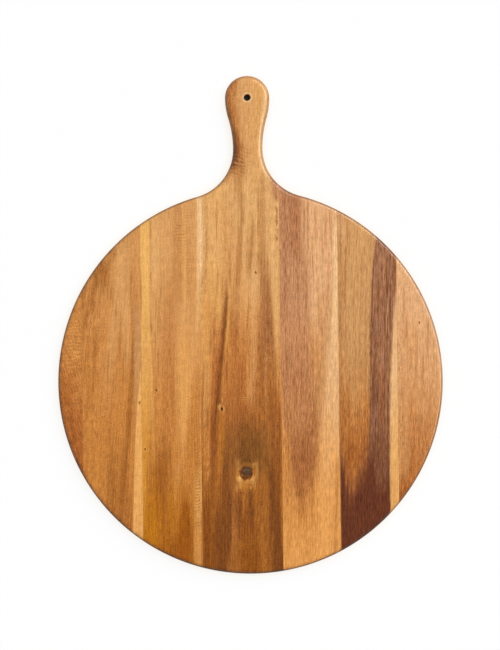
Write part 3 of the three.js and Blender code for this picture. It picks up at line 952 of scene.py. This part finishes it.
def lower_left_tones(wood):
    """Amber, tawny and dark brown strips left of the knot."""
    dotted = wood.fibre(2.5, 7, salt=22)
    wood.streak(UMBER, [(14, -49.5), (-10, -50), (-22, -51), (-62, -51)], 1.8, 0.5)
    wood.streak(DARK_BROWN, [(-40, -52.2), (-100, -52.2), (-200, -52.2)], 1.2, 0.4)
    wood.band(CHESTNUT, -28, -9, [(-15, 0), (-40, 0.5), (-70, 0.6), (-120, 0.3)], 5)
    wood.band(AMBER, -51.5, -43, [(-15, 0), (-40, 0.6), (-80, 0.55), (-115, 0.3), (-135, 0)], 3)
    wood.streak(SAPWOOD, [(-68, -46), (-98, -46.3)], 2.6, 0.5, broken=dotted)
    wood.streak(DARK_BROWN, [(-33, -46), (-49, -46)], 1.8, 0.5)
    wood.band(DARK_BROWN, [(-30, -41.5), (-60, -42.5), (-100, -43.5)],
              [(-30, -36), (-70, -36.5), (-100, -38)],
              [(-12, 0), (-40, 0.55), (-75, 0.4), (-120, 0.2), (-150, 0)], 4)
    wood.band(TAWNY, [(-35, -35), (-60, -36), (-80, -37), (-100, -38), (-130, -40)],
              [(-35, -28), (-60, -28), (-80, -30), (-100, -33), (-130, -36)],
              [(-22, 0), (-38, 0.8), (-65, 0.95), (-95, 0.75), (-135, 0)], 3)
    wood.band(DARK_BROWN, [(-70, -28), (-95, -31), (-125, -34), (-150, -37), (-200, -38)],
              [(-70, -22), (-95, -21), (-125, -20), (-150, -20), (-200, -27)],
              [(-60, 0), (-90, 0.5), (-130, 0.8), (-165, 0.85), (-200, 0.7)], 5)
    wood.band(DARK_OCHRE, None, -44, [(-110, 0), (-140, 0.7), (-200, 0.8)], 4)
    wood.streak(DARK_BROWN, [(-128, -49), (-160, -48.5), (-200, -48)], 5, 0.7, 5, 20)
    wood.streak(DARK_BROWN, [(-160, -40), (-205, -39)], 7, 0.5, 6)


def lower_right_tones(wood):
    """Dark brown and chestnut strips right of the knot."""
    wood.streak(DARK_BROWN, [(-70, 15), (-95, 20), (-160, 23), (-205, 25)], 7,
                [(-60, 0), (-90, 0.8), (-160, 0.85), (-205, 0.4)], 5)
    wood.band(DARK_BROWN, 23, None, [(-40, 0), (-80, 0.35), (-120, 0.55), (-155, 0.85), (-205, 0.9)], 5)
    wood.band(BROWN, 12, 20, [(-30, 0), (-48, 0.4), (-72, 0.4), (-90, 0)], 5)
    wood.band(CHESTNUT, 22, 30.5, [(5, 0), (-25, 0.6), (-60, 0.55), (-95, 0)], 5)
    wood.streak(TAWNY, [(-58, 31.5), (-175, 31.5)], 2.4, 0.6)


def lower_patches(wood):
    """Lighter and darker patches and streaks round the knot and below it."""
    wood.patch(DARK_BROWN, -17, -130, 4.5, 22, 0.5, 0.9)
    wood.patch(TAWNY, -8, -170, 9, 8, 0.2, 0.8)
    wood.patch(UMBER, -4, -188, 18, 16, 0.5, 0.7)
    wood.patch(BROWN, 15, -58, 4, 14, 0.4, 0.8)
    wood.patch(TAWNY, 8.5, -97, 3, 10, 0.5, 0.8)
    wood.patch(TAWNY, -21, -92, 2.6, 12, 0.4, 0.8)
    wood.streak(TAWNY, [(-118, 6.5), (-158, 8), (-200, 14)], 8, 0.45, 7)
    wood.streak(TAWNY, [(-95, 12), (-150, 15)], 5, 0.4, 5)


def main_streak(wood):
    """The long dark streak left of the middle, soft on its left, sharp on its right, and its pale line."""
    uneven = wood.fibre(3, 45, salt=52).rise(0.25, 0.55)
    wood.band(RUSSET, beside(MAIN_STREAK, -6), beside(MAIN_STREAK, 2),
              [(-105, 0), (-60, 0.35), (-15, 0.45), (20, 0.35), (60, 0.35), (90, 0.2), (108, 0)], 7)
    wood.band(CHESTNUT, beside(MAIN_STREAK, -3.2), beside(MAIN_STREAK, 2),
              [(-110, 0), (-80, 0.5), (0, 0.65), (60, 0.65), (80, 0.5), (104, 0)], 3.4)
    core = [(-95, 0), (-60, 0.4), (-30, 0.6), (20, 0.65), (60, 0.6), (86, 0.5), (102, 0)]
    wood.band(DARK_BROWN, beside(MAIN_STREAK, -1.6), beside(MAIN_STREAK, 1.6),
              uneven * wood.share(core, wood.crisp_y), 1.8)
    wood.streak(DARK_BROWN, [(0, -33), (-10, -33.8), (-20, -34.6), (-32, -36.4), (-52, -38.6)], 2.4, 0.6)
    wood.patch(DARK_BROWN, -34.6, -21, 2.4, 4.5, 0.7)
    wood.streak(GOLD, [(100, -21), (80, -21.2), (62, -22.8), (38, -25.4)], 1.9, 0.6)
    wood.patch(GOLD, -33.2, -26.5, 1.6, 2.6, 0.6, 0.8)
    wood.patch(GOLD, -28.8, -29.5, 1.6, 3.6, 0.45, 0.8)
    wood.patch(BARK, -30.6, -28.8, 1.4, 2.0, 1.0, 0.35)


def knot_arch(wood):
    """The dark arch over the knot and the rays below it."""
    streaky = wood.fibre(6, 60, salt=18).rise(0.0, 0.5, 0.8)
    wood.patch(OLIVE_BROWN, KNOT_X + 2, KNOT_Y + 23, 21, 30, streaky, 0.6)
    wood.patch(CHESTNUT, -10, -56, 7, 10, 0.25, 0.8)
    wood.patch(TAWNY, -5, -112, 13, 9, 0.6, 0.8)
    wood.streak(AMBER, [(-110, -8), (-136, -8.5)], 3, 0.35)
    wood.streak(AMBER, [(-108, -4.6), (-128, -4.6)], 1.8, 0.35)
    wood.streak(DARK_BROWN, [(-114, -1.5), (-152, 0)], 5.5, 0.8, 4)
    wood.streak(DARK_BROWN, [(-120, -12), (-150, -13)], 3.5, 0.4, 4)


def knot_tones(wood):
    """The knot: a grey core in a dark ring and a golden collar with a painted glint."""
    lump = wood.noise(5, 5, salt=30, place=wood.flat, Detail=2.0)
    grit = wood.noise(1.6, 1.6, salt=33, place=wood.flat, Detail=2.0)
    rough = (lump - 0.5) * 4 + (grit - 0.5) * 3.5
    rim = wood.reach_from(KNOT_X, KNOT_Y) + rough
    core = wood.reach_from(KNOT_X + 0.2, KNOT_Y + 1.7) + rough
    wood.paint(TAWNY, rim.rise(15, 9, wood.y.rise(-84, -93, 0.5)))
    wood.paint(AMBER, rim.rise(12.5, 9, wood.y.rise(-85, -94, grit.rise(0.35, 0.65, 0.6))))
    wood.paint(GOLD, rim.rise(13, 10, wood.y.rise(-95, -103, lump.rise(0.3, 0.6, 0.7))))
    gold_spots = ((-14, -89, 2.4, 6, 0.25), (3, -87.5, 3, 2, 0.35), (-13.4, -102.5, 2.6, 2.6, 0.8),
                  (5.8, -93, 1.4, 9, 0.35), (1.4, -102, 1.6, 4, 0.5), (-15.8, -112, 1, 4, 0.4),
                  (2.2, -107.5, 2.4, 4, 0.4), (-12, -108, 2.4, 4, 0.45))
    for x, y, across, along, share in gold_spots:
        wood.patch(GOLD, x, y, across, along, share, 0.8)
    wood.patch(TAWNY, -6, -108.5, 3, 3, 0.4, 0.8)
    # A painted glint on the golden collar.
    wood.patch(STRAW, -11.8, -101.3, 1.5, 1.7, 0.9, 0.6)
    wood.patch(STRAW, -1.2, -112, 0.8, 1.5, 0.6, 0.7)
    wood.paint(BARK, rim.rise(7.6, 6.4, 0.95))
    wood.paint(UMBER, rim.rise(7.4, 6.2, wood.y.rise(-96, -99.5, 0.6)))
    wood.patch(CHESTNUT, -11, -95, 1.5, 4, 0.6, 0.7)
    wood.patch(RUSSET, -2.4, -102.2, 1.8, 1.4, 0.6, 0.7)
    wood.patch(AMBER, -10.2, -99, 1, 1.4, 0.6, 0.7)
    wood.patch(TAWNY, 1.6, -95.4, 2, 1.8, 0.7, 0.7)
    wood.paint(KNOT_GREY, core.rise(5.2, 3.8, 0.95))
    wood.paint(OLIVE_TAN, core.rise(4.8, 3, grit.rise(0.52, 0.66, 0.3)))
    wood.patch(OLIVE_BROWN, 1, -92.4, 2.4, 1.2, 0.7, 0.7)


def right_inner_wood():
    """Rose tan with a red-brown flame that comes to a point low on its left."""
    wood = Wood("right_inner_wood", ROSE_TAN, seed=5, lean=-0.02)
    wood.wash(HONEY, [(20, 0), (-40, 0.45), (-90, 0.8), (-150, 0.95)])
    wood.band(GOLDEN_BROWN, None, [(60, 80), (20, 78), (-30, 73), (-70, 72), (-110, 68), (-150, 64)],
              [(90, 0), (50, 0.5), (0, 0.75), (-60, 0.75), (-110, 0.65), (-160, 0)], 12)
    red_flame(wood)
    right_inner_marks(wood)
    pale_edge = [(200, 92), (150, 90), (80, 88), (60, 86.5), (40, 85), (20, 83), (0, 81), (-30, 78),
                 (-60, 76), (-100, 73), (-130, 68)]
    wood.band(OLIVE_TAN, [(110, 84), (40, 77), (0, 71), (-40, 67)], pale_edge,
              [(-75, 0), (-20, 0.4), (50, 0.5), (90, 0.4), (130, 0)], 6)
    wood.band(PALE_SAP, pale_edge, None,
              [(-110, 0), (-70, 0.25), (-30, 0.55), (20, 0.35), (70, 0.8), (150, 0.9), (195, 0.3)], 5)
    wood.band(CREAM, 88.6, 93.2, [(40, 0), (70, 0.5), (140, 0.65), (180, 0)], 2.5)
    wood.band(AMBER, None, 40, [(-40, 0), (-80, 0.5), (-120, 0.4), (-150, 0)], 8)
    wood.streak(BROWN, [(-85, 90.5), (-130, 89.5), (-182, 87.5)], 3.4, 0.5)
    wood.band(CHESTNUT, 92.8, None, [(-190, 0.6), (-60, 0.6), (-10, 0.35), (190, 0.3)], 1)
    return wood.figure(lines=0.65, fibres=1.0, grit=0.35, width=1.4, length=45)


def red_flame(wood):
    """Red-brown heartwood, narrowing to a point."""
    upper_right = [(205, 57), (160, 57), (130, 61), (70, 63), (30, 63), (0, 62)]
    wood.band(RED_BROWN, None, upper_right, [(210, 0.85), (100, 0.75), (40, 0.6), (0, 0.5), (-35, 0)], 12)
    core_left = [(20, 28), (-20, 33), (-60, 37), (-90, 40), (-110, 42.5), (-150, 48)]
    core_right = [(20, 70), (-20, 70), (-60, 69), (-90, 67), (-110, 64), (-150, 58)]
    wood.band(RED_BROWN, core_left, core_right, [(50, 0), (10, 0.4), (-20, 0.5), (-60, 0.4), (-90, 0)], 14)
    wood.band(RUST, core_left, core_right,
              [(10, 0), (-30, 0.25), (-65, 0.65), (-105, 0.8), (-130, 0.5), (-155, 0)], 15)


def right_inner_marks(wood):
    """Rust and orange-brown streaks over the flame and beside it."""
    wood.band(AMBER, None, 68, [(-112, 0), (-140, 0.3), (-170, 0.3), (-195, 0.15)], 10)
    wood.streak(TAWNY, [(-100, 63), (-150, 64.5)], 4, 0.35, 4)
    wood.streak(TAWNY, [(-105, 51), (-150, 52)], 6, 0.4, 6)
    rust_lines = (([(198, 50), (130, 52)], 8, 0.5), ([(203, 38), (60, 39)], 3.4, 0.35),
                  ([(193, 44), (140, 45)], 2, 0.5), ([(120, 60), (72, 60)], 2.4, 0.4),
                  ([(193, 62.5), (140, 62.5)], 1.8, 0.6), ([(190, 59), (150, 58.5)], 1.6, 0.5),
                  ([(30, 38), (0, 39)], 2.4, 0.5), ([(10, 46), (-30, 48)], 3, 0.55),
                  ([(15, 53), (-25, 55)], 2.4, 0.45), ([(100, 36), (60, 36.5)], 3, 0.35),
                  ([(110, 51), (60, 52)], 2.2, 0.35), ([(30, 61), (0, 61)], 2, 0.3),
                  ([(10, 73), (-50, 65.5)], 4, 0.25), ([(0, 34.5), (-50, 38)], 2.6, 0.4))
    for points, width, share in rust_lines:
        wood.streak(RUST, points, width, share)
    wood.patch(RUST, 53, -88, 8, 24, 0.45, 0.9)
    wood.streak(RUST, [(-40, 66.5), (-90, 64.5)], 4, 0.35)
    wood.dashes(ORANGE_BROWN, 2.0, 0.4, [(90, 77.5), (80, 77)], [(100, 72), (66, 73.5)],
                [(60, 76), (44, 76.5)], [(48, 70), (26, 71)], [(160, 77), (130, 78)],
                [(185, 86), (140, 86.5)], [(170, 81), (150, 80.5)], [(180, 70), (150, 70.5)],
                [(150, 66.5), (110, 67)], [(120, 83), (80, 82.5)], [(40, 65.5), (10, 66.5)])


def right_outer_wood():
    """Olive tan with a chocolate band on its right, all maroon towards the bottom."""
    wood = Wood("right_outer_wood", OLIVE_TAN, seed=6, lean=-0.03)
    wood.band(TAN, 104, 129, [(-10, 0), (40, 0.1), (100, 0.2), (165, 0.35)], 6)
    wood.wash(AMBER, [(40, 0), (-15, 0.5), (-60, 0.8)])
    wood.wash(RUSSET, [(0, 0), (-50, 0.5), (-90, 0.85), (-110, 0.9)])
    wood.patch(ROSE_TAN, 97, 160, 5, 15, 0.6, 0.8)
    wood.band(BROWN, None, 97.5, [(-75, 0.7), (-30, 0.5), (0, 0.4), (100, 0.35), (150, 0.3), (175, 0.1)], 3)
    wood.streak(BROWN, [(172, 104), (140, 103), (110, 101), (82, 100.5)], 2.6, 0.45)
    wood.dashes(BROWN, 1.6, 0.36, [(165, 106.5), (130, 105)], [(165, 115), (140, 113)],
                [(130, 119), (100, 118)], [(82, 117.5), (58, 118)], [(100, 110), (60, 109.5)],
                [(60, 111), (0, 111)], [(70, 122.5), (0, 121.5)], [(10, 104), (-40, 103)],
                [(-25, 115), (-70, 117)], [(150, 96.5), (120, 97)], [(60, 100.5), (20, 100.5)],
                [(50, 116), (10, 115.5)])
    wood.band(TAN, 102.4, 107, [(80, 0), (95, 0.45), (125, 0.35), (140, 0)], 2)
    wood.patch(UMBER, 104.5, -78, 3, 10, 0.5, 0.9)
    wood.streak(AMBER, [(-86, 109.5), (-118, 106.5)], 4.5, 0.4, 4)
    chocolate_band(wood)
    wood.below(DARK_CHOCOLATE,
               [(93, -62), (100, -88), (106, -108), (110, -94), (115, -86), (120, -76), (126, -54),
                (134, -58), (146, -58)], 0.6, 44)
    wood.below(MAROON,
               [(93, -84), (100, -102), (106, -122), (110, -110), (115, -105), (120, -97), (126, -80),
                (131, -98), (136, -110), (146, -102)], 1.0, 34)
    pale_edge = [(135, 160), (105, 158), (95, 155.4), (80, 153.8), (60, 151.8), (40, 150), (20, 148.6),
                 (0, 147.6), (-60, 146.7), (-100, 146.5), (-140, 146.6)]
    wood.band(PALE_SAP, pale_edge, None, 1.0, 3.6)
    wood.band(SAPWOOD, pale_edge, None, [(0, 0), (-80, 0.8), (-140, 0.9)], 3.6)
    return wood.figure(lines=0.65, fibres=1.0, grit=0.3, width=1.4, length=45)


def chocolate_band(wood):
    """Dark heartwood with strong lines, darkening to maroon."""
    left = [(152, 136), (130, 132), (100, 129), (60, 127), (30, 126.3), (-60, 125)]
    wood.band(CHOCOLATE, left, None, 1.0, 4)
    wood.band(DARK_CHOCOLATE, left, None,
              wood.fibre(1.6, 60, salt=41, roughness=0.65).rise(0.48, 0.6, 0.85), 3)
    wood.band(ROSE_CHOCOLATE, left, None,
              wood.fibre(1.8, 60, salt=42, roughness=0.65).rise(0.48, 0.6, 0.95), 3)
    wood.band(DARK_CHOCOLATE, [(135, 147), (110, 146.5), (90, 145), (70, 143), (50, 141)],
              [(135, 157), (110, 155), (90, 153), (70, 151), (50, 149)],
              [(20, 0), (50, 0.1), (80, 0.2), (125, 0.2), (145, 0)], 4)
    dark_lines = (([(147, 135.8), (120, 131.5), (80, 128.8), (35, 127.5)], 2.2),
                  ([(132, 149), (112, 148)], 1.6), ([(130, 153), (105, 152)], 1.8),
                  ([(110, 137), (70, 135)], 1.4), ([(60, 133), (20, 132)], 1.5),
                  ([(45, 144), (10, 142.5)], 1.5), ([(0, 141.5), (-40, 141)], 1.6))
    for points, width in dark_lines:
        wood.streak(DARK_CHOCOLATE, points, width, 0.6)
    wood.patch(ROSE_CHOCOLATE, 139.5, 57, 2.6, 12, 0.65, 0.8)
    wood.patch(ROSE_CHOCOLATE, 137, 142, 3, 9, 0.6, 0.8)
    wood.patch(ROSE_CHOCOLATE, 145, 129, 2.6, 7, 0.45, 0.8)
    wood.streak(MAROON, [(102, 146.3), (85, 145.1), (70, 143.2), (53, 142)], 1.4, 0.75)
    wood.streak(TAN, [(82, 146), (58, 143.8)], 1.4, 0.4)
    wood.streak(TAN, [(128, 143), (108, 141.5)], 1.2, 0.3)
    wood.streak(DARK_CHOCOLATE, [(22, 130.5), (-25, 129.5)], 4.5, 0.6, 4)
    wood.streak(RUSSET, [(14, 138.5), (-45, 139.5)], 3.5, 0.4)
    wood.band(MAROON, left, None, [(25, 0), (-40, 0.3), (-70, 0.45), (-90, 0.6)], 4)


def right_rim_wood():
    """Rose tan, turning orange-brown towards the bottom."""
    wood = Wood("right_rim_wood", ROSE_TAN, seed=7)
    wood.wash(GOLDEN_BROWN, [(70, 0), (10, 0.3), (-40, 0.65)])
    wood.wash(ORANGE_BROWN, [(0, 0), (-60, 0.55), (-100, 0.95), (-130, 1)])
    dashes = ((168, -28, -62), (172.5, -38, -82), (178, -48, -92), (170, -78, -104), (184, -45, -75),
              (190, -10, -45), (166, 70, 40), (170, 30, 10), (163, 95, 60), (176, 40, 0), (182, 20, -15),
              (161, 20, -20), (188, 60, 25))
    for x, high, low in dashes:
        wood.streak(RUSSET, [(high, x), (low, x - 1.5)], 2.2, 0.35)
    wood.patch(GOLDEN_BROWN, 170, 42, 8, 22, 0.35, 0.8)
    wood.band(TAN, None, 166, [(-110, 0), (-85, 0.35), (-40, 0.35), (-15, 0)], 5)
    wood.patch(CHESTNUT, 160, -120, 9, 14, 0.5, 0.9)
    wood.flecks(RUSSET, 159.5, -70, 4.5, 36, 2.2, 2.8, 0.3)
    wood.flecks(ORANGE_BROWN, 157.5, 25, 2.2, 30, 2.2, 3.4, 0.4)
    wood.pin(179, 61, 0.6)
    return wood.figure(lines=0.6, fibres=0.95, grit=0.35, width=1.4, length=45)


# The glue's blotches to the metre, and its roughness from the shiny ones to the dull ones.
GLUE_BLOTCHES = 60.0
GLUE_SHINY = 0.45
GLUE_DULL = 0.65


def glue():
    """Cured wood glue, sanded flush."""
    material, surface = new_material("glue")
    place = surface.node("TexCoord", output="Object")
    blotch = place.node("TexNoise", sockets={"Vector": place, "Scale": GLUE_BLOTCHES, "Detail": 2.0})
    colour = blotch.between(GLUE_BROWN, GOLDEN_BROWN)
    roughness = blotch * (GLUE_DULL - GLUE_SHINY) + GLUE_SHINY
    bsdf = colour.node("BsdfPrincipled", sockets={"Base Color": colour, "Roughness": roughness})
    material.node_tree.links.new(bsdf.socket, surface.socket)
    return material


# Studio

# The floor is grey to the light that it throws back, and white to the camera, apart from the soft shadow.
# Close to the board its white turns warm, as painted bounce light, and then dark, as painted shadow, where
# less than these shares of the air are open.
FLOOR_DROP = 0.2 * MM
FLOOR_SIZE = 12.0
FLOOR_GREY = (0.22, 0.22, 0.22, 1)
FLOOR_SHADOW = (0.08, 0.08, 0.08, 1)
FLOOR_GLOW = 0.92
FLOOR_WHITE = (1, 1, 1, 1)
FLOOR_PAINTED_BOUNCE = (1, 0.93, 0.82, 1)
FLOOR_PAINTED_BOUNCE_AIR = (0.4, 0.8)
FLOOR_PAINTED_SHADE = (0, 0, 0, 1)
FLOOR_PAINTED_SHADE_AIR = (0.08, 0.38)

# A broad key lamp, a fan of low side lamps in degrees, and the sky's light overhead and at the horizon.
KEY_DIRECTION = (0.36, 0.36, 0.86)
KEY_STRENGTH = 2.72
KEY_SPREAD = math.radians(60)
SIDE_TURNS = (-15, -2, 11, 24, 37, 50, 63)
SIDE_HEIGHT = 27
SIDE_STRENGTH = 0.55
SIDE_SPREAD = math.radians(14)
SKY_TOP = 0.42
SKY_LOW = 0.02

# The camera's height above the face, the point that it looks at, and the height of what it sees.
CAMERA_HEIGHT = 2.4
CAMERA_AIM = (0.2 * MM, 59.7 * MM)
CAMERA_TURN = math.radians(-0.69)
FIELD_HEIGHT = 685.6 * MM
SENSOR = 36.0


def seen_directly(surface):
    """1 for rays that show a surface to the camera, straight, in a reflection or through glass."""
    path = surface.node("LightPath", output="Is Camera Ray")
    return (path + path.output("Is Glossy Ray") + path.output("Is Transmission Ray")).at_most(1)


def floor():
    """A pale floor that the camera sees as white, with the board's soft shadow, deepened by painted shade,
    and painted warm light beside it.
    """
    ground = start_mesh(bpy.ops.mesh.primitive_plane_add, size=FLOOR_SIZE, location=(0, 0, -FLOOR_DROP))
    ground.name = "floor"
    material, surface = new_material("pale_floor")
    bounce = surface.node("BsdfDiffuse", sockets={"Color": FLOOR_GREY})
    shadow = surface.node("BsdfDiffuse", sockets={"Color": FLOOR_SHADOW})
    open_air = surface.node("AmbientOcclusion", sockets={"Distance": THICKNESS}, output="AO")
    # Painted warm bounce light and painted shadow beside the board, from ambient occlusion.
    painted_bounce = open_air.rise(*FLOOR_PAINTED_BOUNCE_AIR).between(FLOOR_PAINTED_BOUNCE, FLOOR_WHITE)
    light = open_air.rise(*FLOOR_PAINTED_SHADE_AIR).between(FLOOR_PAINTED_SHADE, painted_bounce)
    glow = surface.node("Emission", sockets={"Color": light, "Strength": FLOOR_GLOW})
    white = surface.node("AddShader", sockets={0: shadow, 1: glow})
    shown = surface.node("MixShader", sockets={0: seen_directly(surface), 1: bounce, 2: white})
    material.node_tree.links.new(shown.socket, surface.socket)
    ground.data.materials.append(material)


def sky():
    """Soft light from overhead that falls off towards the horizon, and that the camera sees as white."""
    world = bpy.data.worlds.new("studio")
    bpy.context.scene.world = world
    world.use_nodes = True
    world.node_tree.nodes.clear()
    output = world.node_tree.nodes.new("ShaderNodeOutputWorld")
    surface = Shade(output.inputs["Surface"])
    way = surface.node("TexCoord", output="Generated")
    height = way.node("SeparateXYZ", sockets={0: way}, output="Z").at_least(0)
    level = height ** 2 * (SKY_TOP - SKY_LOW) + SKY_LOW
    shown = seen_directly(surface)
    strength = shown + level * (1 - shown)
    light = surface.node("Background", sockets={"Color": (1, 1, 1, 1), "Strength": strength})
    world.node_tree.links.new(light.socket, surface.socket)


def lamp(name, direction, strength, spread):
    """A broad soft light that shines from a direction."""
    light = bpy.data.lights.new(name, "SUN")
    light.energy = strength
    light.angle = spread
    stand = bpy.data.objects.new(name, light)
    bpy.context.scene.collection.objects.link(stand)
    stand.rotation_mode = "QUATERNION"
    stand.rotation_quaternion = Vector(direction).to_track_quat("Z", "Y")
    return stand


def key_lamp():
    """The main light, high and broad, which leaves no glare on the face."""
    stand = lamp("key", KEY_DIRECTION, KEY_STRENGTH, KEY_SPREAD)
    stand.visible_glossy = False


def side_lamps():
    """Low lamps on the right, which only draw a pale line along the rounded edges."""
    height = math.radians(SIDE_HEIGHT)
    for number, degrees in enumerate(SIDE_TURNS, 1):
        turn = math.radians(degrees)
        direction = (math.cos(turn) * math.cos(height), math.sin(turn) * math.cos(height), math.sin(height))
        stand = lamp(f"side_{number}", direction, SIDE_STRENGTH, SIDE_SPREAD)
        stand.visible_diffuse = False


def camera():
    """Straight above the board, with a long lens."""
    lens = bpy.data.cameras.new("camera")
    lens.sensor_width = SENSOR
    lens.lens = SENSOR * CAMERA_HEIGHT / FIELD_HEIGHT
    viewer = bpy.data.objects.new("camera", lens)
    viewer.location = (*CAMERA_AIM, THICKNESS + CAMERA_HEIGHT)
    viewer.rotation_euler = (0, 0, CAMERA_TURN)
    bpy.context.scene.collection.objects.link(viewer)
    bpy.context.scene.camera = viewer


# The board

STAVES = [
    ("left_stave_3", "left_rim_stave", left_rim_wood),
    ("left_stave_2", "left_outer_stave", left_outer_wood),
    ("left_stave_1", "left_inner_stave", left_inner_wood),
    ("handle_stave", "long_handle_stave", handle_wood),
    ("right_stave_1", "right_inner_stave", right_inner_wood),
    ("right_stave_2", "right_outer_stave", right_outer_wood),
    ("right_stave_3", "right_rim_stave", right_rim_wood),
]


def build_board():
    """Cuts the staves and the glue films out of one panel and gives each its finish."""
    blank = make_blank()
    for node, name, wood in STAVES:
        stave = cut_from(blank, node, name)
        stave.data.materials.append(wood())
    glue_material = glue()
    for side in ("left", "right"):
        for number in (1, 2, 3):
            film = cut_from(blank, f"{side}_glue_line_{number}", f"{side}_glue_film_{number}")
            film.data.materials.append(glue_material)
    bpy.data.objects.remove(blank)


bpy.context.scene.view_settings.view_transform = "Standard"
camera()
sky()
key_lamp()
side_lamps()
floor()
build_board()
